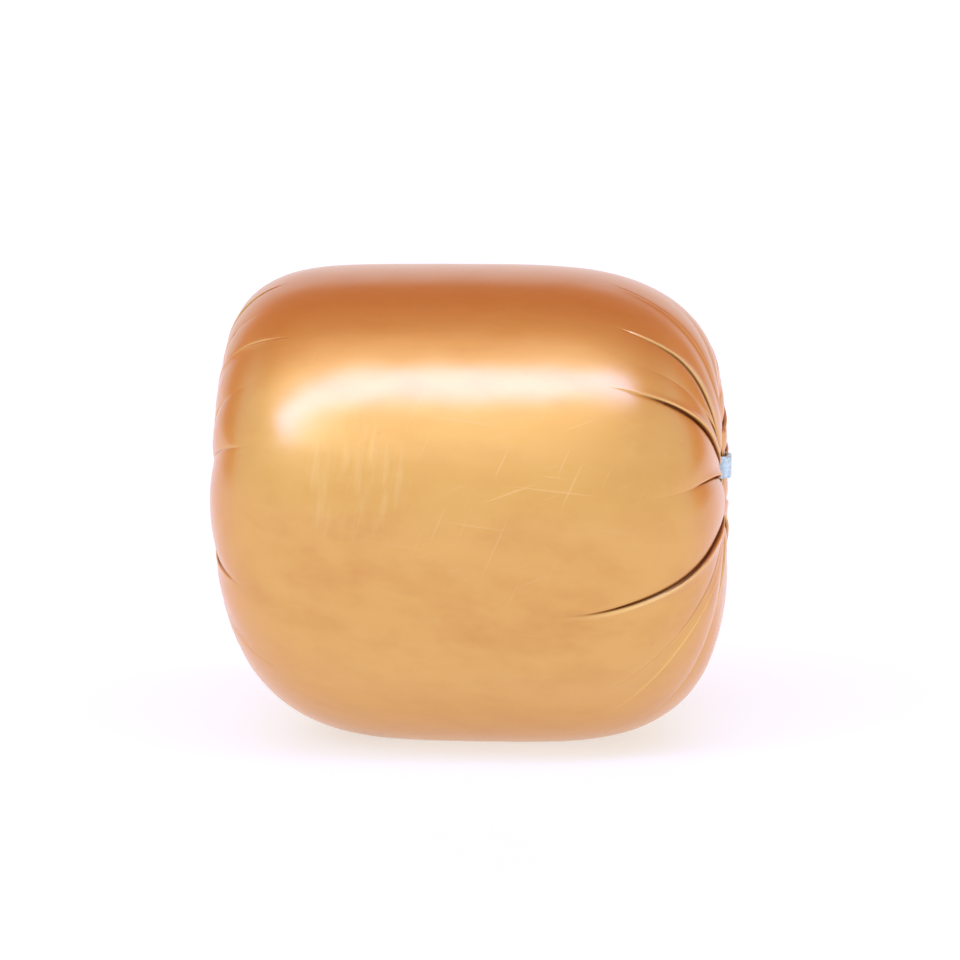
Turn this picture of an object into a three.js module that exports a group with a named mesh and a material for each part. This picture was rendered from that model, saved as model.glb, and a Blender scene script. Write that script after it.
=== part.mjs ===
// A whole cooked ham in a tubular plastic casing, lying on its side.
// The meat fills a film tube that is gathered into pleats at both ends; each gathered neck is bent over
// into a pocket in the end of the ham, closed with an aluminium wire clip, and cut off as a short fan.
//
// Millimetres, +Z up. X runs along the ham, -Y is its front, and z = 0 is the table it lies on.
// The origin is on the table, below the middle of the ham.
import * as THREE from "three";

// The ham as it lies.
const bodyLength = 117.5; // end face to end face
const bodyHeight = 110; // table to top
const bodyWidth = 112; // front to back
const restSag = 2; // how far the belly would reach below the table if it weren't pressed flat

// What differs from end to end. "corner" is the exponent of the outline's superellipse, 2 for an ellipse and
// more for a squarer shoulder; "topSkew" makes the upper shoulder squarer than the lower one, or rounder if it
// is negative; "gatherUp" and "gatherBack" say where the film is gathered, from the middle of the end; and
// "neckLean" is the way the neck is bent, in degrees from straight up towards the back.
const ends = {
  left: { corner: 4.2, topSkew: 0.9, gatherUp: 2, gatherBack: 3, neckLean: 50 },
  right: { corner: 3.5, topSkew: -0.2, gatherUp: 2, gatherBack: 0, neckLean: 0 },
};

// The film, and the meat inside it.
const filmWall = 0.5;
const meatGap = 0.7; // between film and meat
const pleatCount = 14; // around each end
const pleatDepth = 1.1; // at its deepest, halfway from the shoulder to the neck
const pleatSharpness = 3; // 1 for even waves, and more for narrow valleys between wide folds

// The gathered neck and the fan of film beyond the clip.
const neckWidth = 6.4; // across the bend
const neckThickness = 2.8; // in the plane of the bend
const neckFillet = 1.2; // where the neck runs out into the end of the ham
const neckChannel = 0.5; // radius of the passage that the gathered folds leave
const bendInside = 2; // radius of the inside of the bend
const tailLength = 5.6; // beyond the clip
const tailWidth = 9.4; // at the cut end
const tailThickness = 2.4;

// The clip: a flat wire bent round the neck, its two ends meeting on the outside.
const clipWall = 1.2;
const clipHeight = 5.2; // along the neck
const clipGap = 0.3; // between clip and film
const clipSeam = 0.5; // between the wire's two ends
const clipBevel = 0.3;
const clipProud = 1; // how far the clip stands out of the end face

// The pocket that each bent neck lies in.
const pocketMargin = 6; // beyond the neck, clip and tail, to where the pocket's wall is steepest
const pocketClearance = 1; // between its floor and the clip
const pocketPower = 2.5; // 2 gives a bowl, and more gives a flatter floor

// How finely the surfaces are stepped.
const columnsPerPleat = 4;
const bodySteps = 24; // along the ham
const endCrowding = 0.35; // 0 for even steps, 1 for the finest at the ends
const bendSteps = 3;
const arcSteps = 3; // in each corner of the clip
const measureSteps = 4000; // for walking along the outline
const normalStep = 1e-3; // in radians

// Worked out from the above.
const columns = pleatCount * columnsPerPleat;
const axisHeight = bodyHeight / 2;
const clipThickness = neckThickness + 2 * (clipGap + clipWall);
const clipWidth = neckWidth + 2 * (clipGap + clipWall);
const clipCentre = bodyLength / 2 + clipProud - clipThickness / 2; // from the middle of the ham
const bendRadius = neckThickness / 2 + bendInside;
const neckBaseRadius = (neckWidth + neckThickness) / 4;
const neckRootRadius = neckBaseRadius + neckFillet;
const clipStart = bendRadius + 2 * clipGap; // from the gather point, along the lean
const clipEnd = clipStart + clipHeight;
const tailEnd = clipEnd + clipGap + tailLength;
const pocketReach = Math.max(clipWidth, tailWidth) / 2 + pocketMargin;
const pocketDepth = bodyLength / 2 - clipCentre + clipThickness / 2 + pocketClearance;

const sides = {
  left: makeSide(-1, ends.left),
  right: makeSide(1, ends.right),
};

// The frame of one end: sign is the way it faces, lean the way the neck bends, across the neck's flat way,
// and pocket the line from the gather to the end of the tail.
function makeSide(sign, end) {
  const angle = THREE.MathUtils.degToRad(end.neckLean);
  const out = new THREE.Vector3(sign, 0, 0);
  const lean = new THREE.Vector3(0, Math.sin(angle), Math.cos(angle));
  const across = new THREE.Vector3(0, -lean.z, lean.y);
  const gather = new THREE.Vector3(0, end.gatherBack, axisHeight + end.gatherUp);
  const pocket = new THREE.Line3(gather, gather.clone().addScaledVector(lean, tailEnd));
  return { ...end, sign, out, lean, across, gather, pocket };
}

// On the surface, around is 0 at the top and a quarter turn at the front, and along runs from 0 at the left
// pole to PI at the right pole.
function sideAt(along) {
  return Math.cos(along) > 0 ? sides.left : sides.right;
}

function outlinePower(around, along) {
  const side = sideAt(along);
  return 2 / (side.corner + side.topSkew * Math.cos(around));
}

// How far out from the gather a point is: 0 at the pole and 1 at the widest.
function shareAt(around, along) {
  return Math.sin(along) ** outlinePower(around, along);
}

// A point of the unpleated outer surface.
function smoothPoint(around, along) {
  const side = sideAt(along);
  const share = shareAt(around, along);
  const reach = Math.abs(Math.cos(along)) ** outlinePower(around, along);
  const up = Math.cos(around);
  const rise = axisHeight + (up < 0 ? restSag : 0);
  const inFace = new THREE.Vector3(
    0,
    (-share * bodyWidth * Math.sin(around)) / 2 + side.gatherBack * (1 - share ** 2),
    axisHeight + share * rise * up + side.gatherUp * (1 - share ** 2),
  );
  const nearest = side.pocket.closestPointToPoint(inFace, true, new THREE.Vector3());
  const fromPocket = inFace.distanceTo(nearest) / pocketReach;
  const hollow = pocketDepth * Math.exp(-(fromPocket ** pocketPower));
  return inFace.setX(side.sign * ((reach * bodyLength) / 2 - hollow));
}

// The outward normal there.
function smoothNormal(around, along) {
  const round = smoothPoint(around + normalStep, along).sub(smoothPoint(around - normalStep, along));
  const onward = smoothPoint(around, along + normalStep).sub(smoothPoint(around, along - normalStep));
  return round.cross(onward).normalize();
}

// How deep the pleats are at a point: nothing on the sides, deepest halfway across the end.
function pleatAt(around, along) {
  const valley = (0.5 + 0.5 * Math.cos(pleatCount * around)) ** pleatSharpness;
  return pleatDepth * Math.sin(Math.PI * (1 - shareAt(around, along))) * valley;
}

// A point of the pleated surface, moved inwards by inset. Nothing reaches below the table.
function skinPoint(around, along, inset) {
  const depth = inset + pleatAt(around, along);
  const point = smoothPoint(around, along).addScaledVector(smoothNormal(around, along), -depth);
  point.z = Math.max(point.z, inset);
  return point;
}

// One closed ring of points round the ham.
function skinRing(along, inset) {
  return circleAngles().map((around) => skinPoint(around, along, inset));
}

function circleAngles() {
  return Array.from({ length: columns }, (_, i) => (2 * Math.PI * i) / columns);
}

// Where the body's rings stand: from neck root to neck root, crowded together towards the ends.
function bodyStations() {
  const share = neckRootRadius / (bodyWidth / 2);
  const first = Math.asin(share ** (ends.left.corner / 2));
  const last = Math.PI - Math.asin(share ** (ends.right.corner / 2));
  const at = (i) => first + ((last - first) * i) / measureSteps;
  const front = Math.PI / 2;
  const walked = [0];
  for (let i = 1; i <= measureSteps; i++) {
    walked.push(walked[i - 1] + smoothPoint(front, at(i)).distanceTo(smoothPoint(front, at(i - 1))));
  }
  return Array.from({ length: bodySteps + 1 }, (_, k) => {
    const even = k / bodySteps;
    const crowded = 0.5 - 0.5 * Math.cos(Math.PI * even);
    const far = THREE.MathUtils.lerp(even, crowded, endCrowding) * walked[measureSteps];
    const index = walked.findIndex((reached) => reached >= far);
    return at(index < 0 ? measureSteps : index);
  });
}

// A ring round the neck: bend is how far the neck has turned from pointing outwards to lying along the lean,
// beyond is the straight length after the bend, and thick and wide are the ring's two half sizes.
function neckRing(side, bend, beyond, thick, wide) {
  const root = clipCentre - bendRadius;
  const centre = side.gather
    .clone()
    .addScaledVector(side.out, root + bendRadius * Math.sin(bend))
    .addScaledVector(side.lean, bendRadius * (1 - Math.cos(bend)) + beyond);
  const inPlane = side.lean.clone().multiplyScalar(Math.cos(bend)).addScaledVector(side.out, -Math.sin(bend));
  const leanAround = Math.atan2(-side.lean.y, side.lean.z);
  return circleAngles().map((around) => {
    const angle = around - leanAround;
    return centre
      .clone()
      .addScaledVector(inPlane, thick * Math.cos(angle))
      .addScaledVector(side.across, wide * Math.sin(angle));
  });
}

// The rings of one neck and tail from the ham outwards. channel is 0 for the outside, or the passage's radius.
function neckRings(side, channel) {
  const half = (size) => (channel ? channel : size / 2);
  const rings = [];
  for (let i = 0; i <= bendSteps; i++) {
    const share = i / bendSteps;
    const thick = THREE.MathUtils.lerp(2 * neckBaseRadius, neckThickness, share);
    const wide = THREE.MathUtils.lerp(2 * neckBaseRadius, neckWidth, share);
    rings.push(neckRing(side, (share * Math.PI) / 2, 0, half(thick), half(wide)));
  }
  const straight = clipEnd + clipGap - bendRadius;
  rings.push(neckRing(side, Math.PI / 2, straight, half(neckThickness), half(neckWidth)));
  [0.5, 1].forEach((share) => {
    const thick = THREE.MathUtils.lerp(neckThickness, tailThickness, share);
    const wide = THREE.MathUtils.lerp(neckWidth, tailWidth, share);
    rings.push(neckRing(side, Math.PI / 2, straight + share * tailLength, half(thick), half(wide)));
  });
  return rings;
}

// A closed surface through rings with equal numbers of points. A loop joins the last ring to the first;
// otherwise each end is closed with a fan to its middle.
function surfaceThrough(rings, isLoop) {
  const points = rings.flat();
  const faces = [];
  const index = (ring, column) => (ring % rings.length) * columns + (column % columns);
  const spans = isLoop ? rings.length : rings.length - 1;
  for (let r = 0; r < spans; r++) {
    for (let c = 0; c < columns; c++) {
      const [a, b] = [index(r, c), index(r, c + 1)];
      const [d, e] = [index(r + 1, c), index(r + 1, c + 1)];
      faces.push(a, b, e, a, e, d);
    }
  }
  if (!isLoop) {
    [0, rings.length - 1].forEach((r) => {
      const middle = new THREE.Vector3();
      rings[r].forEach((point) => middle.addScaledVector(point, 1 / columns));
      points.push(middle);
      for (let c = 0; c < columns; c++) {
        const rim = [index(r, c), index(r, c + 1)];
        faces.push(points.length - 1, ...(r === 0 ? rim.reverse() : rim));
      }
    });
  }
  const geometry = new THREE.BufferGeometry().setFromPoints(points);
  geometry.setIndex(faces);
  geometry.computeVertexNormals();
  return geometry;
}

// The film tube: its outside from the left cut end to the right one, and its inside back again.
function casingGeometry() {
  const stations = bodyStations();
  const tube = (inset, channel) => [
    ...neckRings(sides.left, channel).reverse(),
    ...stations.map((along) => skinRing(along, inset)),
    ...neckRings(sides.right, channel),
  ];
  return surfaceThrough([...tube(0, 0), ...tube(filmWall, neckChannel).reverse()], true);
}

// The meat: everything inside the film, closed plainly at the necks.
function meatGeometry() {
  const rings = bodyStations().map((along) => skinRing(along, filmWall + meatGap));
  return surfaceThrough(rings, false);
}

// Half of the outline of a rounded slot, from the middle of its far side round to the middle of its near side.
function halfSlot(thick, wide) {
  const radius = thick / 2;
  const straight = wide / 2 - radius;
  const steps = 2 * arcSteps;
  return Array.from({ length: steps + 1 }, (_, i) => {
    const angle = (Math.PI * i) / steps;
    return new THREE.Vector2(-radius * Math.cos(angle), straight + radius * Math.sin(angle));
  });
}

// The clip's outline across the neck: x points out of the ham, and the seam is in the middle of that side.
function clipOutline() {
  const outer = halfSlot(clipThickness, clipWidth);
  const inner = halfSlot(clipThickness - 2 * clipWall, clipWidth - 2 * clipWall).reverse();
  const seamEdge = [
    new THREE.Vector2(clipThickness / 2, clipSeam / 2),
    new THREE.Vector2(clipThickness / 2 - clipWall, clipSeam / 2),
  ];
  const half = [...outer, ...seamEdge, ...inner];
  const mirrored = half.map((point) => new THREE.Vector2(point.x, -point.y)).reverse();
  return new THREE.Shape([...half, ...mirrored]);
}

function clipGeometry() {
  const geometry = new THREE.ExtrudeGeometry(clipOutline(), {
    depth: clipHeight - 2 * clipBevel,
    bevelEnabled: true,
    bevelThickness: clipBevel,
    bevelSize: clipBevel,
    bevelOffset: -clipBevel,
    bevelSegments: 1,
    steps: 1,
  });
  return geometry.translate(0, 0, clipBevel);
}

const film = new THREE.MeshStandardMaterial({ color: 0xd9914e, roughness: 0.3, metalness: 0.6 });
const meat = new THREE.MeshStandardMaterial({ color: 0xd98f88, roughness: 0.6, metalness: 0.0 });
const wire = new THREE.MeshStandardMaterial({ color: 0xc3d6de, roughness: 0.4, metalness: 0.9 });

function named(name, geometry, material) {
  const mesh = new THREE.Mesh(geometry, material);
  mesh.name = name;
  return mesh;
}

// A clip stands round its neck: the group turns the outline's x outwards and its length along the lean.
function placedClip(name, side) {
  const group = new THREE.Group();
  const turned = new THREE.Matrix4().makeBasis(
    side.out,
    new THREE.Vector3().crossVectors(side.lean, side.out),
    side.lean,
  );
  group.quaternion.setFromRotationMatrix(turned);
  group.position
    .copy(side.gather)
    .addScaledVector(side.out, clipCentre)
    .addScaledVector(side.lean, clipStart);
  group.add(named(name, clipGeometry(), wire));
  return group;
}

const ham = new THREE.Group();
ham.add(named("casing", casingGeometry(), film));
ham.add(named("ham_meat", meatGeometry(), meat));
ham.add(placedClip("clip_right", sides.right));
ham.add(placedClip("clip_left", sides.left));

export default ham;
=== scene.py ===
import math

import bpy
import numpy as np
from mathutils import Matrix, Vector


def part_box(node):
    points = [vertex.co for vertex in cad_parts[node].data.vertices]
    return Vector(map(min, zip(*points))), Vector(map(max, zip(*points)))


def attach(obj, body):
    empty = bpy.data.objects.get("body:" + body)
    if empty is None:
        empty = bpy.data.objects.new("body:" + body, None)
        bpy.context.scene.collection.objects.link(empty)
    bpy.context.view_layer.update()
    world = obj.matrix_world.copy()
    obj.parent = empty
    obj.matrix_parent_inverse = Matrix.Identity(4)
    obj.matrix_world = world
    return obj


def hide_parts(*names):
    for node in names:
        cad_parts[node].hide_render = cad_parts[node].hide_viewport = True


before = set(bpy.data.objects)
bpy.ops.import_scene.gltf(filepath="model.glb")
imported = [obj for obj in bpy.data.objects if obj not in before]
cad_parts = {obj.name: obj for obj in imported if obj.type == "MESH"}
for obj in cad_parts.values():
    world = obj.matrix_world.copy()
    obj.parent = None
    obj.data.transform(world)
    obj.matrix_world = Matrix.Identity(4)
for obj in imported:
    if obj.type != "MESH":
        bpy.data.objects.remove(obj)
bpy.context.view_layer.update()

scene = bpy.context.scene
mm = 0.001


# camera: on the ham's front side, the clipped right end turned a little towards it
# the lens is in millimetres, the angles in degrees, the distance and the aim in metres

view = {"lens": 135, "distance": 0.845, "azimuth": 5, "elevation": 8, "aim": (0.0009, 0.0, 0.0594)}


def direction(azimuth, elevation):
    # seen from the ham: azimuth from its front towards +X, elevation above the floor
    turn, lift = math.radians(azimuth), math.radians(elevation)
    return Vector((math.sin(turn) * math.cos(lift), -math.cos(turn) * math.cos(lift), math.sin(lift)))


def makeCamera():
    data = bpy.data.cameras.new("camera")
    data.lens = view["lens"]
    camera = bpy.data.objects.new("camera", data)
    scene.collection.objects.link(camera)
    away = direction(view["azimuth"], view["elevation"])
    camera.location = Vector(view["aim"]) + away * view["distance"]
    camera.rotation_euler = away.to_track_quat("Z", "Y").to_euler()
    scene.camera = camera


makeCamera()


# nodes as Python expressions

class Wire:
    # a node tree's socket that Python's own operators work on
    def __init__(self, tree, socket=None):
        self.tree = tree
        self.socket = socket

    def node(self, kind, settings=None, inputs=None, out=0):
        made = self.tree.nodes.new(kind)
        for name, value in (settings or {}).items():
            setattr(made, name, value)
        for name, value in (inputs or {}).items():
            # a list holds several links to one socket
            for one in value if isinstance(value, list) else [value]:
                if isinstance(one, Wire):
                    self.tree.links.new(one.socket, made.inputs[name])
                else:
                    made.inputs[name].default_value = one
        return Wire(self.tree, made.outputs[out]) if made.outputs else None

    def output(self, name):
        # another output of the node that this one comes from
        return Wire(self.tree, self.socket.node.outputs[name])

    def math(self, operation, *values):
        return self.node("ShaderNodeMath", {"operation": operation}, dict(enumerate(values)))

    def __add__(self, other):
        return self.math("ADD", self, other)

    def __radd__(self, other):
        return self.math("ADD", other, self)

    def __sub__(self, other):
        return self.math("SUBTRACT", self, other)

    def __rsub__(self, other):
        return self.math("SUBTRACT", other, self)

    def __mul__(self, other):
        return self.math("MULTIPLY", self, other)

    def __rmul__(self, other):
        return self.math("MULTIPLY", other, self)

    def smooth(self, low, high):
        settings = {"interpolation_type": "SMOOTHSTEP"}
        return self.node("ShaderNodeMapRange", settings, {"Value": self, "From Min": low, "From Max": high})

    def tint(self, first, second):
        colours = {"Factor": self, 6: first, 7: second}
        return self.node("ShaderNodeMix", {"data_type": "RGBA"}, colours, out=2)


def newMaterial(name):
    material = bpy.data.materials.new(name)
    material.use_nodes = True
    material.node_tree.nodes.clear()
    return material, Wire(material.node_tree)


def finishMaterial(wires, shader):
    wires.node("ShaderNodeOutputMaterial", None, {"Surface": shader})


def stretched(wires, place, grain, turn, detail, seed):
    # noise whose grains have a size in millimetres along each axis, turned together by radians
    sizes = tuple(one * mm for one in grain)
    turned = wires.node("ShaderNodeMapping", {"vector_type": "TEXTURE"},
                        {"Vector": place, "Rotation": turn, "Scale": sizes})
    noise = {"Vector": turned, "W": seed, "Scale": 1.0, "Detail": detail, "Roughness": 0.55}
    return wires.node("ShaderNodeTexNoise", {"noise_dimensions": "4D"}, noise, out="Fac")


def around(wires, place, centre, inner, outer):
    # 1 near a point, fading to 0, all in millimetres
    point = tuple(one * mm for one in centre)
    gap = wires.node("ShaderNodeVectorMath", {"operation": "DISTANCE"}, {0: place, 1: point}, out="Value")
    return 1 - gap.smooth(inner * mm, outer * mm)


def relief(wires, height, strength, depth):
    # a bump whose depth is in millimetres
    return wires.node("ShaderNodeBump", None,
                      {"Height": height, "Strength": strength, "Distance": depth * mm})


# the film: copper-gold, satin underneath and glossy on top; its creases get painted shade inside and
# painted highlights on their edges, and its ripples and scratches painted glints

film = {
    "gold": (0.735, 0.398, 0.073, 1),
    "amber": (0.66, 0.315, 0.042, 1),
    # painted shade: the dark brown inside the creases
    "deep": (0.10, 0.010, 0.002, 1),
    # painted highlight: the cream on each crease's raised edge
    "edge": (0.98, 0.70, 0.30, 1),
    # painted glints on the ripples and scratches, partly the scratches' own paler wear
    "glintsAndWear": (0.86, 0.60, 0.24, 1),
    "metallic": 1.0,
    "roughness": 0.46,
    "coatRoughness": 0.22,
    "coatIor": 1.72,
    "edgeTint": (0.95, 0.50, 0.42, 1),
    "bump": (0.8, 0.16),
    # each pattern: its grains in millimetres, its turn, its detail and its seed
    "clouds": ((17, 9, 9), (0, 0.2, 0), 4, 1.0),
    "streaks": ((70, 2.4, 2.4), (0, 0, 0), 2, 2.0),
    "ripples": ((1.9, 20, 11), (0, 0.12, 0), 3, 3.0),
    "pimples": ((0.7, 0.7, 0.7), (0, 0, 0), 1, 6.0),
    "scratches": [
        ((26, 9, 0.8), (0, -0.34, 0), 1, 4.0),
        ((30, 9, 0.9), (0, -1.15, 0), 1, 5.0),
        ((34, 9, 0.8), (0, 0.12, 0), 1, 7.0),
    ],
    "speckScale": 170.0,
    # each patch on the front: its centre, where it starts to fade and where it has faded, in millimetres;
    # the amber patches are a painted dark reflection on the lower front
    "darkReflectionPatches": [((-28, -55, 46), 6, 30), ((14, -55, 36), 8, 34)],
    "ripplePatch": ((-22, -54, 66), 8, 26),
    "scratchPatch": ((12, -54, 64), 12, 36),
    "scratchesElsewhere": 0.2,  # beside the patch, as a share of those in it
    "coatOffLips": 0.7,
    # where each pattern starts to show and where it shows in full
    "shows": {
        # the creases' painted shade
        "folds": (0.1, 0.8),
        "clouds": (0.42, 0.68),
        "darkReflectionClouds": (0.2, 0.7),
        "ripples": (0.42, 0.72),
        "scratches": (0.68, 0.73),
        "specks": (0.05, 0.10),
        "speckClouds": (0.45, 0.6),
    },
    # how strongly each pattern colours, raises and roughens the film; the crease edges, the amber patches
    # and the ripples and scratches colour it with painted highlights, a painted dark reflection and painted
    # glints
    "tint": {
        "clouds": 0.35,
        "darkReflection": 0.65,
        "lipHighlights": 0.75,
        "ripples": 0.24,
        "scratches": 0.28,
        "specks": 0.5,
    },
    "raise": {"ripples": 1.1, "scratches": 0.16, "pimples": 0.03, "specks": 0.2, "streaks": 0.06},
    "roughen": {"clouds": 0.10, "streaks": 0.03, "scratches": 0.08},
}


def makeFilmMaterial():
    material, wires = newMaterial("casing_film")
    place = wires.node("ShaderNodeTexCoord", out="Object")
    # the creases' painted shade and the painted highlights on their raised edges, carried by the casing's
    # attributes
    fold = wires.node("ShaderNodeAttribute", {"attribute_name": "fold"}, out="Fac")
    lip = wires.node("ShaderNodeAttribute", {"attribute_name": "lip"}, out="Fac")
    shows, tint, lift, roughen = film["shows"], film["tint"], film["raise"], film["roughen"]

    clouds = stretched(wires, place, *film["clouds"])
    streaks = stretched(wires, place, *film["streaks"])
    # painted dark reflection: amber patches on the lower front, broken up by the clouds; the clouds alone
    # are the film's own uneven tone
    darkReflection = wires.math("MAXIMUM", *(around(wires, place, *patch) for patch in film["darkReflectionPatches"]))
    darkReflection = darkReflection * clouds.smooth(*shows["darkReflectionClouds"])
    amber = clouds.smooth(*shows["clouds"]) * tint["clouds"] + darkReflection * tint["darkReflection"]
    base = amber.tint(film["gold"], film["amber"])
    # painted shade inside the creases
    inside = fold.smooth(*shows["folds"])
    base = inside.tint(base, film["deep"])
    # painted highlight on each crease's raised edge
    base = (lip * tint["lipHighlights"]).tint(base, film["edge"])

    # faint upright ripples where the film has been handled, and long shallow scratches beside them
    ripples = stretched(wires, place, *film["ripples"]) * around(wires, place, *film["ripplePatch"])
    grains = [stretched(wires, place, *one) for one in film["scratches"]]
    first, second, third = (grain.smooth(*shows["scratches"]) for grain in grains)
    elsewhere = film["scratchesElsewhere"]
    patch = around(wires, place, *film["scratchPatch"]) * (1 - elsewhere) + elsewhere
    scratches = (first + second + third) * patch
    pimples = stretched(wires, place, *film["pimples"])
    dots = wires.node("ShaderNodeTexVoronoi", None,
                      {"Vector": place, "Scale": film["speckScale"]}, out="Distance")
    specks = (1 - dots.smooth(*shows["specks"])) * clouds.smooth(*shows["speckClouds"])

    # painted glints: the ripples and scratches pale the film's colour, the scratches partly with their own
    # worn paleness
    glintsAndWear = ripples.smooth(*shows["ripples"]) * tint["ripples"] + scratches * tint["scratches"]
    base = glintsAndWear.tint(base, film["glintsAndWear"])
    base = (specks * tint["specks"]).tint(base, film["amber"])
    height = ripples * lift["ripples"] + scratches * lift["scratches"] + pimples * lift["pimples"]
    height = height + specks * lift["specks"] + streaks * lift["streaks"]
    rough = film["roughness"] + (clouds - 0.5) * roughen["clouds"]
    rough = rough + streaks * roughen["streaks"] + scratches * roughen["scratches"]
    shader = wires.node("ShaderNodeBsdfPrincipled", None, {
        "Base Color": base,
        "Metallic": film["metallic"],
        "Roughness": rough,
        # the coat is off inside the creases, deepening their painted shade, and mostly off their painted
        # highlights
        "Coat Weight": 1 - (inside + lip * film["coatOffLips"]).smooth(0, 1),
        "Coat Roughness": film["coatRoughness"],
        "Coat IOR": film["coatIor"],
        "Specular Tint": film["edgeTint"],
        "Normal": relief(wires, height, *film["bump"]),
    })
    finishMaterial(wires, shader)
    return material


# the clips: soft aluminium wire, pressed flat

clipFinish = {
    "bright": (0.62, 0.77, 0.83, 1),
    "dull": (0.44, 0.56, 0.61, 1),
    "metallic": 0.9,
    "roughness": 0.34,
    "roughnessSpread": 0.25,
    "bump": (0.4, 0.06),
    "rub": ((2, 2, 0.4), (0, 0, 0), 3, 1.0),
    "spots": ((1.1, 1.1, 1.1), (0, 0, 0), 2, 2.0),
    "spotEdges": (0.35, 0.65),
}


def makeClipMaterial():
    material, wires = newMaterial("clip_wire")
    place = wires.node("ShaderNodeTexCoord", out="Object")
    rub = stretched(wires, place, *clipFinish["rub"])
    spots = stretched(wires, place, *clipFinish["spots"])
    base = spots.smooth(*clipFinish["spotEdges"]).tint(clipFinish["bright"], clipFinish["dull"])
    shader = wires.node("ShaderNodeBsdfPrincipled", None, {
        "Base Color": base,
        "Metallic": clipFinish["metallic"],
        "Roughness": clipFinish["roughness"] + (rub - 0.5) * clipFinish["roughnessSpread"],
        "Normal": relief(wires, rub, *clipFinish["bump"]),
    })
    finishMaterial(wires, shader)
    return material


# the meat: pressed pieces of cooked ham

meatFinish = {
    "pink": (0.72, 0.33, 0.29, 1),
    "pale": (0.82, 0.52, 0.45, 1),
    "fat": (0.88, 0.76, 0.66, 1),
    "roughness": 0.42,
    "roughnessSpread": 0.2,
    "bump": (0.5, 0.4),
    "fibres": ((17, 4, 4), (0.2, 0.1, 0.3), 4, 1.0),
    "fibreEdges": (0.3, 0.7),
    "lumpScale": 45.0,
    "seamEdges": (0.01, 0.06),
}


def makeMeatMaterial():
    material, wires = newMaterial("cooked_meat")
    place = wires.node("ShaderNodeTexCoord", out="Object")
    fibres = stretched(wires, place, *meatFinish["fibres"])
    lumps = wires.node("ShaderNodeTexVoronoi", {"feature": "DISTANCE_TO_EDGE"},
                       {"Vector": place, "Scale": meatFinish["lumpScale"]}, out="Distance")
    base = fibres.smooth(*meatFinish["fibreEdges"]).tint(meatFinish["pink"], meatFinish["pale"])
    base = (1 - lumps.smooth(*meatFinish["seamEdges"])).tint(base, meatFinish["fat"])
    shader = wires.node("ShaderNodeBsdfPrincipled", None, {
        "Base Color": base,
        "Roughness": meatFinish["roughness"] + (fibres - 0.5) * meatFinish["roughnessSpread"],
        "Normal": relief(wires, fibres, *meatFinish["bump"]),
    })
    finishMaterial(wires, shader)
    return material


filmMaterial = makeFilmMaterial()
clipMaterial = makeClipMaterial()
meatMaterial = makeMeatMaterial()
print("materials made")


# the ham's form, in millimetres: angles are degrees up from the front, over the top to the back

casingLow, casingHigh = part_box("casing")
form = {
    "height": casingHigh[2] / mm,
    "width": (casingHigh[1] - casingLow[1]) / mm,
    "length": 117.5,
    "sag": 2.0,  # how far the round form would go below the floor, where the underside is flat
    # the hollow that each gather sits in
    "pocketReach": 10.0,
    "pocketDepth": 6.4,
    "pocketPower": 2.6,
    "rootRadius": 3.4,
    "rows": 158,
    "walkSteps": 6000,
    "crowding": 0.5,  # how much closer the rings stand towards the ends
    "columnsPerPleat": 22,
    "columnCrowding": 0.92,
    "resting": 0.02,  # the underside's height over the floor
    "blend": (-24, 14),  # where the left end's creases give way to the right end's
    # the surface's slow swells and small dimples: height, number of waves, shortest, longest and seed
    "swells": (0.09, 8, 24, 60, 11),
    "dimples": (0.02, 10, 8, 16, 12),
}
clip = {
    "height": 5.2,
    "wall": 1.2,
    "gap": 0.3,
    "width": 9.4,
    "thickness": 5.8,
    "corner": 1.9,
    "seam": 0.5,
    "edge": 0.4,
    "ribs": 11,
    "ribWidth": 0.6,
    "ribProud": 0.14,
    "ribLength": 0.8,  # as a share of the clip's height
    "steps": 96,
    "cornerSteps": 8,
    "edgeSteps": 5,
    "beadSides": 14,
    "beadRings": 10,
}
neck = {
    "rootHalf": 2.2,
    "rootFlat": 0.8,  # the root's thickness as a share of its width
    "clipStart": 4.0,
    "bend": 3.4,
    "width": 6.2,
    "thickness": 2.7,
    "bendSteps": 6,
    "tailLength": 5.6,
    "tailWidth": 9.0,
    "tailThickness": 2.3,
    "tailSteps": 6,
    "folds": 0.26,
    "tailFolds": 0.42,
    "foldPower": 0.6,
    "zigzag": 0.55,
    "zigzagCount": 2.6,
    "zigzagPhase": 0.6,
    "mouthDepth": 2.2,
    "mouthSteps": (0.15, 0.55, 1.0),
    "mouthClosing": 0.3,
    "wall": 0.62,
    "wallThrough": 0.9,
}

# each crease: its angle at four distances from the gather, where it starts and ends, its depth,
# and the side of it with the raised edge (1 is the side of the greater angles)
stations = (8, 28, 46, 70)
rightCreases = [
    ((-64, -82, -86, -90), 0, 64, 1.3, -1),
    ((-24, -44, -58, -68), 0, 38, 1.6, -1),
    ((-17, -28, -35, -56), 0, 74, 1.5, 1),
    ((-12, -22, -31, -45), 46, 72, 0.5, 1),
    ((-8, -12, -16, -19.5), 0, 82, 1.4, -1),
    ((26, 18, 10, 6), 12, 46, 1.7, 1),
    ((31, 32, 35, 37), 14, 66, 1.5, 1),
    ((36, 38, 43, 46), 22, 42, 1.3, 1),
    ((39, 39, 53, 57), 0, 66, 1.4, 1),
    ((49, 55, 69, 79), 0, 70, 1.4, -1),
    ((61, 67, 87, 98), 0, 62, 1.3, -1),
    ((84, 92, 108, 116), 0, 62, 1.4, 1),
    ((104, 114, 128, 134), 0, 54, 1.2, -1),
    ((124, 136, 146, 150), 0, 74, 1.6, 1),
    ((146, 156, 164, 168), 0, 52, 1.2, 1),
    ((168, 176, 184, 188), 0, 64, 1.4, -1),
    ((190, 196, 204, 210), 0, 56, 1.2, 1),
    ((212, 218, 226, 232), 0, 78, 1.6, -1),
    ((236, 240, 248, 252), 0, 58, 1.3, 1),
]
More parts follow.
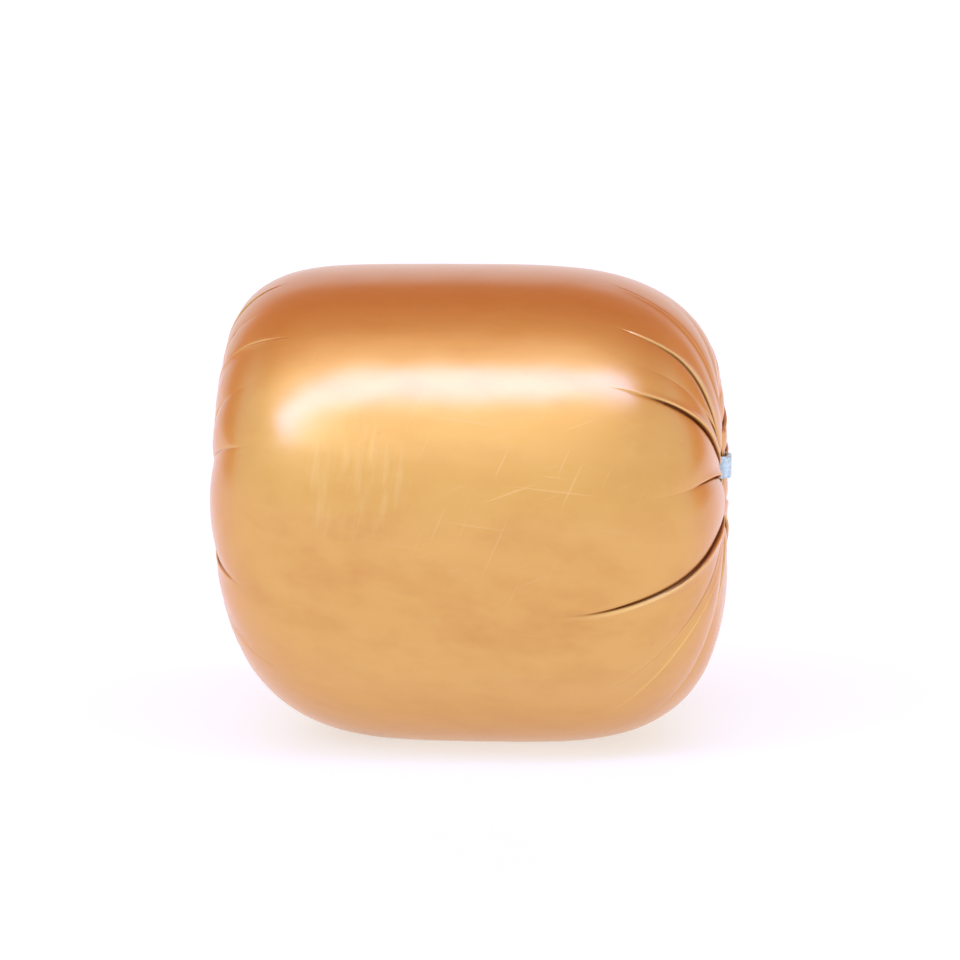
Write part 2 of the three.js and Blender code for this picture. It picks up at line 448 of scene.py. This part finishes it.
leftCreases = [
    ((-80, -88, -90, -90), 0, 60, 1.2, -1),
    ((-62, -68, -72, -72), 0, 54, 1.1, 1),
    ((-50, -56, -60, -60), 0, 44, 1.0, 1),
    ((-38, -45, -41, -42), 0, 64, 1.3, 1),
    ((-20, -23, -18, -18), 0, 52, 1.3, -1),
    ((14, 21, 21, 20), 0, 64, 0.35, -1),
    ((30, 36, 37, 38), 0, 46, 1.1, 1),
    ((44, 54, 52, 50), 0, 70, 1.2, -1),
    ((58, 64, 63, 63), 0, 50, 1.1, 1),
    ((72, 76, 75, 77), 0, 66, 1.3, 1),
    ((90, 95, 97, 98), 0, 58, 1.4, -1),
    ((110, 112, 115, 116), 0, 50, 1.1, 1),
    ((128, 131, 134, 134), 0, 66, 1.5, -1),
    ((146, 150, 151, 150), 0, 72, 1.3, 1),
    ((164, 169, 168, 168), 0, 52, 1.4, -1),
    ((184, 188, 189, 188), 0, 62, 1.3, 1),
    ((206, 208, 210, 210), 0, 70, 1.4, 1),
    ((230, 231, 232, 232), 0, 52, 1.1, -1),
    ((254, 253, 252, 252), 0, 60, 1.2, 1),
]


def makeEnd(sign, node, lean, corner, topSkew, creases):
    # lean is the clip's, in degrees from upright towards the back; corner is how square the end is,
    # and topSkew how much squarer it is above than below
    lowest, highest = (np.array(v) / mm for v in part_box(node))
    angle = math.radians(lean)
    leanWay = np.array([0, math.sin(angle), math.cos(angle)])
    across = np.array([0, -leanWay[2], leanWay[1]])
    height = min(highest[2] - lowest[2], clip["height"])
    centre = (lowest + highest) / 2
    gather = centre - leanWay * (neck["clipStart"] + height / 2)
    gather[0] = 0
    return {
        "sign": sign,
        "lean": leanWay,
        "leanAngle": angle,
        "across": across,
        "clip": centre,
        "gather": gather,
        "pocketEnd": gather + leanWay * (neck["clipStart"] + height + neck["tailLength"]),
        "corner": corner,
        "topSkew": topSkew,
        "angles": np.radians([crease[0] for crease in creases]),
        "start": np.array([crease[1] for crease in creases], float),
        "reach": np.array([crease[2] for crease in creases], float),
        "depth": np.array([crease[3] for crease in creases]),
        "side": np.array([crease[4] for crease in creases]),
    }


left = makeEnd(-1, "clip_left", lean=50, corner=4.2, topSkew=0.9, creases=leftCreases)
right = makeEnd(1, "clip_right", lean=0, corner=3.5, topSkew=-0.2, creases=rightCreases)


def smoothStep(low, high, value):
    t = np.clip((value - low) / (high - low), 0, 1)
    return t * t * (3 - 2 * t)


def window(start, full, ease, stop, value):
    # up from 0 to 1 between start and full, and back to 0 between ease and stop
    return smoothStep(start, full, value) * (1 - smoothStep(ease, stop, value))


def endSurface(end, angle, along):
    # a point of one half of the unpleated ham; along is 0 at the left pole and pi at the right one
    power = 2 / (end["corner"] + end["topSkew"] * np.sin(angle))
    share = np.sin(along) ** power
    reach = np.abs(np.cos(along)) ** power
    up = np.sin(angle)
    rise = form["height"] / 2 + np.where(up < 0, form["sag"], 0)
    toGather = 1 - share ** 2
    y = -share * form["width"] / 2 * np.cos(angle) + end["gather"][1] * toGather
    z = form["height"] / 2 + share * rise * up + (end["gather"][2] - form["height"] / 2) * toGather
    line = end["pocketEnd"] - end["gather"]
    t = ((y - end["gather"][1]) * line[1] + (z - end["gather"][2]) * line[2]) / (line @ line)
    t = np.clip(t, 0, 1)
    gap = np.hypot(y - end["gather"][1] - t * line[1], z - end["gather"][2] - t * line[2])
    hollow = form["pocketDepth"] * np.exp(-(gap / form["pocketReach"]) ** form["pocketPower"])
    x = end["sign"] * (reach * form["length"] / 2 - hollow)
    return np.stack([x, y, z], axis=-1)


def surface(angle, along):
    isLeft = (np.cos(along) > 0)[..., None]
    return np.where(isLeft, endSurface(left, angle, along), endSurface(right, angle, along))


def normals(angle, along):
    step = 1e-4
    overAngle = surface(angle + step, along) - surface(angle - step, along)
    overAlong = surface(angle, along + step) - surface(angle, along - step)
    across = np.cross(overAlong, overAngle)
    return across / np.linalg.norm(across, axis=-1, keepdims=True)


def bodyRows(count):
    # where the rings stand, with each one's distance from the two gathers along the front
    share = form["rootRadius"] / (form["width"] / 2)
    first = math.asin(share ** (left["corner"] / 2))
    last = math.pi - math.asin(share ** (right["corner"] / 2))
    fine = np.linspace(first, last, form["walkSteps"])
    path = surface(np.zeros_like(fine), fine)
    walked = np.concatenate([[0], np.cumsum(np.linalg.norm(np.diff(path, axis=0), axis=1))])
    even = np.linspace(0, 1, count)
    eased = (1 - form["crowding"]) * even + form["crowding"] * (0.5 - 0.5 * np.cos(math.pi * even))
    far = eased * walked[-1]
    along = np.interp(far, walked, fine)
    return along, far + form["rootRadius"], walked[-1] - far + form["rootRadius"]


pleat = {
    "turnRounding": 5,
    "turnSteps": 7,
    "fadeFrom": 0.55,  # as a share of the crease's reach
    "beginLength": 10,
    "fullRadius": 10,
    "depthRoom": 0.36,
    "widthRoom": 0.4,
    "lip": 0.46,  # the raised edge's height, as a share of the crease's depth
    "lipWidth": 1.3,
    "edgeRadius": 0.28,
    "valleyWidth": 0.6,
    "slotWidth": 0.26,
    "slotShare": 0.62,
    # what the film's colour follows: painted shade inside a fold, and a painted highlight on the raised
    # edge beside it
    "fullDepth": 0.8,
    "lipShadeWidth": 0.14,
    "valleyShadeWidth": 0.28,
    "highlightCentre": 0.42,
    "highlightWidth": 0.26,
    # the film's rise between two creases
    "bulge": 1.2,
    "bulgePower": 0.7,
    "bulgeBase": 0.4,
    "bulgeGap": 18,
    "bulgeMost": 1.3,
    "bulgeFar": (4, 20, 30, 62),
    # a shallow dent in the right end, some way up from its front
    "notch": {"angle": 26, "spread": 13, "depth": 0.9, "far": (8, 16, 26, 44)},
}


def creaseAngles(end, far):
    # each crease's angle at each ring: straight runs between its stations, with the turns rounded off
    shifts = np.linspace(-pleat["turnRounding"], pleat["turnRounding"], pleat["turnSteps"])
    runs = [[np.interp(far + shift, stations, row) for shift in shifts] for row in end["angles"]]
    return np.stack([np.mean(run, axis=0) for run in runs], axis=1)


def columnShares():
    even = np.arange(form["columnsPerPleat"]) / form["columnsPerPleat"]
    crowded = 0.5 - 0.5 * np.cos(math.pi * even)
    return even + (crowded - even) * form["columnCrowding"]


def columnAngles(end, far):
    # the columns run along the creases and crowd together beside them
    starts = creaseAngles(end, far)
    ends = np.concatenate([starts[:, 1:], starts[:, :1] + 2 * math.pi], axis=1)
    spans = ends - starts
    return starts[:, :, None] + spans[:, :, None] * columnShares(), spans


def creaseDepth(end, far, radius, spans):
    fade = 1 - smoothStep(pleat["fadeFrom"], 1.0, far[:, None] / end["reach"])
    begun = smoothStep(end["start"], end["start"] + pleat["beginLength"], far[:, None])
    begin = np.where(end["start"] > 0, begun, 1)
    depth = end["depth"] * fade * begin * np.clip(radius[:, None] / pleat["fullRadius"], 0.1, 1)
    gaps = spans * radius[:, None]
    room = np.minimum(gaps, np.roll(gaps, 1, axis=1))
    return np.minimum(depth, pleat["depthRoom"] * room), gaps


def pleatHeight(end, far, radius):
    # how far the film stands off the plain form, and how much painted shade it gets inside a fold and
    # painted highlight on a fold's edge
    angles, spans = columnAngles(end, far)
    depth, gaps = creaseDepth(end, far, radius, spans)
    share = columnShares()
    height, fold, lip = (np.zeros(angles.shape) for _ in range(3))
    for after in (True, False):
        # what the crease does to the film after it, then what the next crease does to the film before that
        away = (share if after else 1 - share) * gaps[:, :, None]
        deep = (depth if after else np.roll(depth, -1, axis=1))[:, :, None]
        side = end["side"] if after else -np.roll(end["side"], -1)
        room = pleat["widthRoom"] * gaps[:, :, None]
        turn = np.clip(away / np.minimum(pleat["edgeRadius"], room), 0, 1)
        rounding = np.sqrt(1 - (1 - turn) ** 2)
        ridge = pleat["lip"] * deep * np.exp(-(away / np.minimum(pleat["lipWidth"], room)) ** 2)
        raised = (ridge + deep) * rounding - deep
        slot = np.exp(-(away / pleat["slotWidth"]) ** 2)
        dip = np.exp(-away / np.minimum(pleat["valleyWidth"], room))
        tucked = -deep * (pleat["slotShare"] * slot + (1 - pleat["slotShare"]) * dip)
        isLip = (side > 0)[None, :, None]
        height += np.where(isLip, raised, tucked)
        # painted shade under each raised edge and along each tucked valley
        strength = np.clip(deep / pleat["fullDepth"], 0, 1)
        shadeUnderLip = np.exp(-(away / pleat["lipShadeWidth"]) ** 2)
        valleyShade = np.exp(-(away / pleat["valleyShadeWidth"]) ** 4)
        # painted highlight beside each raised edge
        bright = np.exp(-((away - pleat["highlightCentre"]) / pleat["highlightWidth"]) ** 2)
        fold += np.where(isLip, shadeUnderLip, valleyShade) * strength
        lip += np.where(isLip, bright, 0) * strength
    lobe = (4 * share * (1 - share)) ** pleat["bulgePower"]
    rise = window(*pleat["bulgeFar"], far)[:, None]
    size = np.clip(gaps / pleat["bulgeGap"], 0, pleat["bulgeMost"]) * rise
    height += pleat["bulge"] * size[:, :, None] * (lobe - pleat["bulgeBase"])
    return angles, height, fold, lip


def waves(points, height, count, shortest, longest, seed):
    # a few smooth random waves through space
    random = np.random.default_rng(seed)
    total = np.zeros(points.shape[:-1])
    for _ in range(count):
        way = random.normal(size=3)
        way /= np.linalg.norm(way)
        length = random.uniform(shortest, longest)
        total += np.sin(points @ way * 2 * math.pi / length + random.uniform(0, 2 * math.pi))
    return height * (total / math.sqrt(count))


def bodyGrid():
    rows = form["rows"]
    along, farLeft, farRight = bodyRows(rows)
    flat = surface(np.zeros_like(along), along)
    radius = np.sin(along) ** (2 / np.where(np.cos(along) > 0, left["corner"], right["corner"]))
    radius = radius * form["width"] / 2
    anglesLeft, heightLeft, foldShadeLeft, lipHighlightLeft = pleatHeight(left, farLeft, radius)
    anglesRight, heightRight, foldShadeRight, lipHighlightRight = pleatHeight(right, farRight, radius)
    blend = smoothStep(*form["blend"], flat[:, 0])[:, None, None]
    angles = (anglesLeft + (anglesRight - anglesLeft) * blend).reshape(rows, -1)
    height = (heightLeft + heightRight).reshape(rows, -1)
    notch = pleat["notch"]
    beside = np.degrees(angles) - notch["angle"]
    near = window(*notch["far"], farRight)[:, None]
    height = height - notch["depth"] * near * np.exp(-(beside / notch["spread"]) ** 2)
    along = np.repeat(along[:, None], angles.shape[1], axis=1)
    points = surface(angles, along)
    height = height + waves(points, *form["swells"]) + waves(points, *form["dimples"])
    points = points + normals(angles, along) * height[..., None]
    points[..., 2] = np.maximum(points[..., 2], form["resting"])
    fold, lip = (foldShadeLeft + foldShadeRight).reshape(rows, -1), (lipHighlightLeft + lipHighlightRight).reshape(rows, -1)
    return points, angles, fold, lip


def neckPath(end, root):
    # stations from the root: place, way, half width, half thickness, how much of a fan, how far inside
    out = np.array([end["sign"], 0, 0], float)
    bend, lean = neck["bend"], end["lean"]
    width, thick = neck["width"] / 2, neck["thickness"] / 2
    corner = end["gather"] + np.array([end["clip"][0] - end["sign"] * bend, 0, 0])
    rootWidth = (form["rootRadius"] + width) / 2
    path = [((root + corner) / 2, out, rootWidth, form["rootRadius"] * neck["rootFlat"], 0, 0)]
    for step in range(neck["bendSteps"] + 1):
        share = step / neck["bendSteps"]
        turn = share * math.pi / 2
        place = corner + bend * (out * math.sin(turn) + lean * (1 - math.cos(turn)))
        way = out * math.cos(turn) + lean * math.sin(turn)
        path.append((place, way, width, thick + (neck["rootHalf"] - thick) * (1 - share) ** 2, 0, 0))
    tailStart = neck["clipStart"] + clip["height"] + clip["gap"]
    for far in (neck["clipStart"], (neck["clipStart"] + tailStart) / 2, tailStart):
        path.append((end["gather"] + lean * far + out * abs(end["clip"][0]), lean, width, thick, 0, 0))
    for step in range(1, neck["tailSteps"] + 1):
        share = step / neck["tailSteps"]
        opened = math.sin(share * math.pi / 2)
        place = end["gather"] + lean * (tailStart + neck["tailLength"] * share) + out * abs(end["clip"][0])
        wide = width + (neck["tailWidth"] / 2 - width) * opened
        deep = thick + (neck["tailThickness"] / 2 - thick) * opened
        path.append((place, lean, wide, deep, share, 0))
    rim = neck["mouthSteps"][0]
    for inside in neck["mouthSteps"]:
        inner = place - lean * neck["mouthDepth"] * (inside - rim)
        path.append((inner, lean, wide, deep, 1 - neck["mouthClosing"] * inside, inside))
    return path


def neckRings(end, root, angles):
    # the gathered film beyond the body: its columns go on as folds round the neck, and the second array
    # paints shade along their creases
    share = np.tile(columnShares(), len(end["depth"]))
    between = np.abs(np.sin(math.pi * share)) ** neck["foldPower"]
    turned = angles - end["leanAngle"]
    rings = []
    for place, way, wide, thick, fan, inside in neckPath(end, root):
        folds = neck["folds"] + (neck["tailFolds"] - neck["folds"]) * fan
        size = 1 - folds * (1 - between)
        wall = neck["wall"] if inside else 0
        across = (wide - wall) * np.cos(turned) * size
        through = (thick - wall * neck["wallThrough"]) * np.sin(turned) * size
        wave = across / wide * math.pi * neck["zigzagCount"] + neck["zigzagPhase"]
        zigzag = neck["zigzag"] * fan * np.sin(wave)
        inward = np.cross(end["across"], way)
        inward = inward if inward @ end["lean"] - inward[0] * end["sign"] > 0 else -inward
        rings.append(place + np.outer(across, end["across"]) + np.outer(through + zigzag, inward))
    return np.array(rings), np.tile(1 - between, (len(rings), 1))


def meshFromRings(name, points, material, attributes):
    # a closed tube through the rings, each end shut with a fan
    rows, columns = points.shape[:2]
    poles = points[[0, -1]].mean(axis=1)
    vertices = np.concatenate([points.reshape(-1, 3), poles]) * mm
    index = np.arange(rows * columns).reshape(rows, columns)
    turned = np.roll(index, -1, axis=1)
    quads = np.stack([index[:-1], index[1:], turned[1:], turned[:-1]], axis=-1).reshape(-1, 4)
    faces = [tuple(face) for face in quads.tolist()]
    last = rows * columns
    faces += [(last, a, b) for a, b in zip(index[0].tolist(), turned[0].tolist())]
    faces += [(last + 1, b, a) for a, b in zip(index[-1].tolist(), turned[-1].tolist())]
    mesh = bpy.data.meshes.new(name)
    mesh.from_pydata(vertices.tolist(), [], faces)
    for title, values in attributes.items():
        layer = mesh.attributes.new(title, "FLOAT", "POINT")
        ends = [values[0].mean(), values[-1].mean()]
        layer.data.foreach_set("value", np.concatenate([values.reshape(-1), ends]).astype(np.float32))
    mesh.materials.append(material)
    mesh.polygons.foreach_set("use_smooth", [True] * len(mesh.polygons))
    mesh.update()
    piece = bpy.data.objects.new(name, mesh)
    scene.collection.objects.link(piece)
    return piece


def makeCasing():
    body, angles, fold, lip = bodyGrid()
    leftNeck, leftFoldShade = neckRings(left, body[0].mean(axis=0), angles[0])
    rightNeck, rightFoldShade = neckRings(right, body[-1].mean(axis=0), angles[-1])
    points = np.concatenate([leftNeck[::-1], body, rightNeck])
    # painted shade along the creases of body and neck; painted highlights only on the body's crease edges
    folds = np.concatenate([leftFoldShade[::-1], fold, rightFoldShade])
    lipHighlights = np.concatenate([leftFoldShade[::-1] * 0, lip, rightFoldShade * 0])
    casing = meshFromRings("film_casing", points, filmMaterial, {"fold": folds, "lip": lipHighlights})
    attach(casing, "root")
    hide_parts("casing")
    print("casing made:", len(casing.data.polygons), "faces")


makeCasing()


# the meat: it fills the film, a little below its creases

meatForm = {
    "inset": 2.6,
    "rows": 90,
    "columns": 150,
    "poleRows": 4,  # rows left off beside each gather
    "flat": 0.6,  # how high the underside lies, as a share of the inset
    "lumps": (0.12, 9, 9, 26, 21),
}


def makeMeat():
    along, _, _ = bodyRows(meatForm["rows"])
    along = along[meatForm["poleRows"]:-meatForm["poleRows"]]
    turns = np.linspace(0, 2 * math.pi, meatForm["columns"], endpoint=False) - math.pi / 2
    angles, along = np.meshgrid(turns, along)
    points = surface(angles, along)
    lumps = waves(points, *meatForm["lumps"])
    points = points - normals(angles, along) * (meatForm["inset"] - lumps)[..., None]
    points[..., 2] = np.maximum(points[..., 2], meatForm["inset"] * meatForm["flat"])
    meat = meshFromRings("cooked_ham", points, meatMaterial, {})
    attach(meat, "root")
    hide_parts("ham_meat")
    print("meat made")


makeMeat()


# the clips: flat wire bent round the gathered film, ribbed by the press that shut it

def makeWireTree():
    tree = bpy.data.node_groups.new("pressed_wire", "GeometryNodeTree")
    sizes = ("Wall", "Height", "Edge", "Rib Width", "Rib Proud")
    kinds = {"Path": "Geometry", "Ribs": "Int", "Steps": "Int", "Material": "Material"}
    kinds.update({size: "Float" for size in sizes})
    for name, kind in kinds.items():
        tree.interface.new_socket(name, in_out="INPUT", socket_type="NodeSocket" + kind)
    tree.interface.new_socket("Wire", in_out="OUTPUT", socket_type="NodeSocketGeometry")
    wires = Wire(tree)
    path = wires.node("NodeGroupInput", out="Path")
    wall, height, edge, ribWidth, ribProud = (path.output(size) for size in sizes)
    section = wires.node("GeometryNodeCurvePrimitiveQuadrilateral", None, {"Width": wall, "Height": height})
    section = wires.node("GeometryNodeFilletCurve", {"mode": "POLY"},
                         {"Curve": section, "Count": clip["edgeSteps"], "Radius": edge})
    even = wires.node("GeometryNodeResampleCurve", None, {"Curve": path, "Count": path.output("Steps")})
    band = wires.node("GeometryNodeCurveToMesh", None,
                      {"Curve": even, "Profile Curve": section, "Fill Caps": True})
    spots = wires.node("GeometryNodeCurveToPoints", None, {"Curve": even, "Count": path.output("Ribs")})
    outward = wires.node("ShaderNodeVectorMath", {"operation": "SCALE"},
                         {0: spots.output("Normal"), "Scale": wall * -0.5})
    spots = spots.node("GeometryNodeSetPosition", None, {"Geometry": spots, "Offset": outward})
    bead = wires.node("GeometryNodeMeshUVSphere", None,
                      {"Segments": clip["beadSides"], "Rings": clip["beadRings"], "Radius": 1.0})
    half = {"X": ribProud, "Y": ribWidth * 0.5, "Z": height * (clip["ribLength"] / 2)}
    size = wires.node("ShaderNodeCombineXYZ", None, half)
    turned = wires.node("FunctionNodeAxesToRotation", {"primary_axis": "Z", "secondary_axis": "X"},
                        {"Primary Axis": (0, 0, 1), "Secondary Axis": outward})
    ribs = wires.node("GeometryNodeInstanceOnPoints", None,
                      {"Points": spots, "Instance": bead, "Rotation": turned, "Scale": size})
    joined = wires.node("GeometryNodeJoinGeometry", None, {"Geometry": [band, ribs]})
    real = wires.node("GeometryNodeRealizeInstances", None, {"Geometry": joined})
    done = wires.node("GeometryNodeSetMaterial", None,
                      {"Geometry": real, "Material": path.output("Material")})
    wires.node("NodeGroupOutput", None, {"Wire": done})
    return tree


def clipPath():
    # once round the neck, from one side of the seam to the other
    x, y = (clip["thickness"] - clip["wall"]) / 2, (clip["width"] - clip["wall"]) / 2
    radius = clip["corner"]
    points = [(x, clip["seam"] / 2)]
    for quarter, (toX, toY) in enumerate([(1, 1), (-1, 1), (-1, -1), (1, -1)]):
        for step in range(clip["cornerSteps"] + 1):
            turn = math.radians(90 * quarter + 90 * step / clip["cornerSteps"])
            cornerX, cornerY = toX * (x - radius), toY * (y - radius)
            points.append((cornerX + radius * math.cos(turn), cornerY + radius * math.sin(turn)))
    return points + [(x, -clip["seam"] / 2)]


def makeClip(end, name, node, tree):
    curve = bpy.data.curves.new(name + "_path", "CURVE")
    curve.dimensions = "3D"
    curve.twist_mode = "Z_UP"
    points = clipPath()
    line = curve.splines.new("POLY")
    line.points.add(len(points) - 1)
    for point, (x, y) in zip(line.points, points):
        point.co = (x * mm, y * mm, 0, 1)
    path = bpy.data.objects.new(name + "_path", curve)
    scene.collection.objects.link(path)
    wire = path.modifiers.new("wire", "NODES")
    wire.node_group = tree
    given = {
        "Wall": clip["wall"] * mm,
        "Height": clip["height"] * mm,
        "Edge": clip["edge"] * mm,
        "Rib Width": clip["ribWidth"] * mm,
        "Rib Proud": clip["ribProud"] * mm,
        "Ribs": clip["ribs"],
        "Steps": clip["steps"],
        "Material": clipMaterial,
    }
    for item in tree.interface.items_tree:
        if item.in_out == "INPUT" and item.name in given:
            wire[item.identifier] = given[item.name]
    bpy.context.view_layer.update()
    graph = bpy.context.evaluated_depsgraph_get()
    mesh = bpy.data.meshes.new_from_object(path.evaluated_get(graph))
    bpy.data.objects.remove(path)
    outward, up = Vector((end["sign"], 0, 0)), Vector(end["lean"])
    place = Matrix((outward, up.cross(outward), up)).transposed().to_4x4()
    place.translation = Vector(end["clip"]) * mm
    mesh.transform(place)
    mesh.name = name
    mesh.materials.clear()
    mesh.materials.append(clipMaterial)
    mesh.polygons.foreach_set("use_smooth", [True] * len(mesh.polygons))
    piece = bpy.data.objects.new(name, mesh)
    scene.collection.objects.link(piece)
    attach(piece, "root")
    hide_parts(node)
    print(name, "made:", len(mesh.polygons), "faces")


wireTree = makeWireTree()
makeClip(right, "pressed_clip_right", "clip_right", wireTree)
makeClip(left, "pressed_clip_left", "clip_left", wireTree)


# floor, light and surroundings

studio = {
    "floor": (0.42, 0.425, 0.42, 1),
    "floorGlow": 0.6,
    "floorHalf": 60.0,
    "floorRoughness": 0.6,
    "floorClouds": ((330, 330, 330), (0, 0, 0), 2, 1.0),
    "around": (0.97, 0.985, 1.06, 1),
    "above": (0.56, 0.19, 0.11, 1),
    "sides": (0.76, 0.34, 0.27, 1),
    "backdrop": (1, 1, 1, 1),
    # where each zone fades in: by the sine of the height, by the cosine of the angle from the camera's
    # side, and by the cosine of the angle from the far side
    "aboveFrom": (0.50, 0.84),
    "frontFrom": (-0.36, -0.10),
    "backFrom": (0.55, 0.78),
    "softbox": {
        "ends": ((62, 58), (-6, 66), (-44, 38)),  # azimuth and elevation of each end and of the bend
        "core": 0.05,
        "edge": 0.21,
        "bend": 0.1,
        "strength": 4.9,
        "colour": (0.52, 0.83, 1.8, 1),
    },
    "fill": {"strength": 0.35, "spread": 70, "azimuth": -20, "elevation": 60},
}


def makeFloor():
    material, wires = newMaterial("studio_floor")
    place = wires.node("ShaderNodeTexCoord", out="Object")
    clouds = stretched(wires, place, *studio["floorClouds"])
    shader = wires.node("ShaderNodeBsdfPrincipled", None, {
        "Base Color": studio["floor"],
        "Roughness": studio["floorRoughness"] + clouds * 0.1,
        "Emission Color": (1, 1, 1, 1),
        "Emission Strength": studio["floorGlow"],
    })
    finishMaterial(wires, shader)
    mesh = bpy.data.meshes.new("floor")
    edge = studio["floorHalf"]
    corners = [(-edge, -edge, 0), (edge, -edge, 0), (edge, edge, 0), (-edge, edge, 0)]
    mesh.from_pydata(corners, [], [(0, 1, 2, 3)])
    mesh.materials.append(material)
    floor = bpy.data.objects.new("floor", mesh)
    scene.collection.objects.link(floor)


def addFill(strength, spread, azimuth, elevation):
    data = bpy.data.lights.new("fill", "SUN")
    data.energy = strength
    data.angle = math.radians(spread)
    lamp = bpy.data.objects.new("fill", data)
    scene.collection.objects.link(lamp)
    lamp.rotation_euler = direction(azimuth, elevation).to_track_quat("Z", "Y").to_euler()


def gapTo(wires, way, first, second):
    # how far a direction is from the line between two others
    run = second - first
    fromFirst = wires.node("ShaderNodeVectorMath", {"operation": "SUBTRACT"}, {0: way, 1: first})
    share = wires.node("ShaderNodeVectorMath", {"operation": "DOT_PRODUCT"},
                       {0: fromFirst, 1: run / run.length_squared}, out="Value")
    share = wires.node("ShaderNodeClamp", None, {"Value": share})
    onRun = wires.node("ShaderNodeVectorMath", {"operation": "SCALE"}, {0: run, "Scale": share})
    return wires.node("ShaderNodeVectorMath", {"operation": "DISTANCE"},
                      {0: fromFirst, 1: onRun}, out="Value")


def makeSurroundings():
    # a bright front and back, with darker, warmer sides and ceiling, and one long bent softbox above the
    # front: the film mirrors these, while the camera itself sees a plain backdrop
    world = bpy.data.worlds.new("studio")
    world.use_nodes = True
    world.node_tree.nodes.clear()
    wires = Wire(world.node_tree)
    way = wires.node("ShaderNodeTexCoord", out="Generated")
    height = wires.node("ShaderNodeSeparateXYZ", None, {"Vector": way}, out="Z")
    overhead = height.smooth(*studio["aboveFrom"])
    ahead = wires.node("ShaderNodeVectorMath", {"operation": "DOT_PRODUCT"},
                       {0: way, 1: direction(view["azimuth"], view["elevation"])}, out="Value")
    pale = ahead.smooth(*studio["frontFrom"]) + (0 - ahead).smooth(*studio["backFrom"])
    colour = overhead.tint(pale.tint(studio["sides"], studio["around"]), studio["above"])
    room = wires.node("ShaderNodeBackground", None, {"Color": colour})
    box = studio["softbox"]
    corners = [direction(*end) for end in box["ends"]]
    gaps = [gapTo(wires, way, *pair) for pair in zip(corners, corners[1:])]
    gap = wires.math("SMOOTH_MIN", *gaps, box["bend"])
    strength = (1 - gap.smooth(box["core"], box["edge"])) * box["strength"]
    softbox = wires.node("ShaderNodeBackground", None, {"Color": box["colour"], "Strength": strength})
    shader = wires.node("ShaderNodeAddShader", None, {0: room, 1: softbox})
    backdrop = wires.node("ShaderNodeBackground", None, {"Color": studio["backdrop"]})
    seen = wires.node("ShaderNodeLightPath", out="Is Camera Ray")
    shader = wires.node("ShaderNodeMixShader", None, {0: seen, 1: shader, 2: backdrop})
    wires.node("ShaderNodeOutputWorld", None, {"Surface": shader})
    scene.world = world


makeFloor()
addFill(**studio["fill"])
makeSurroundings()
scene.view_settings.view_transform = "Standard"
print("studio made")
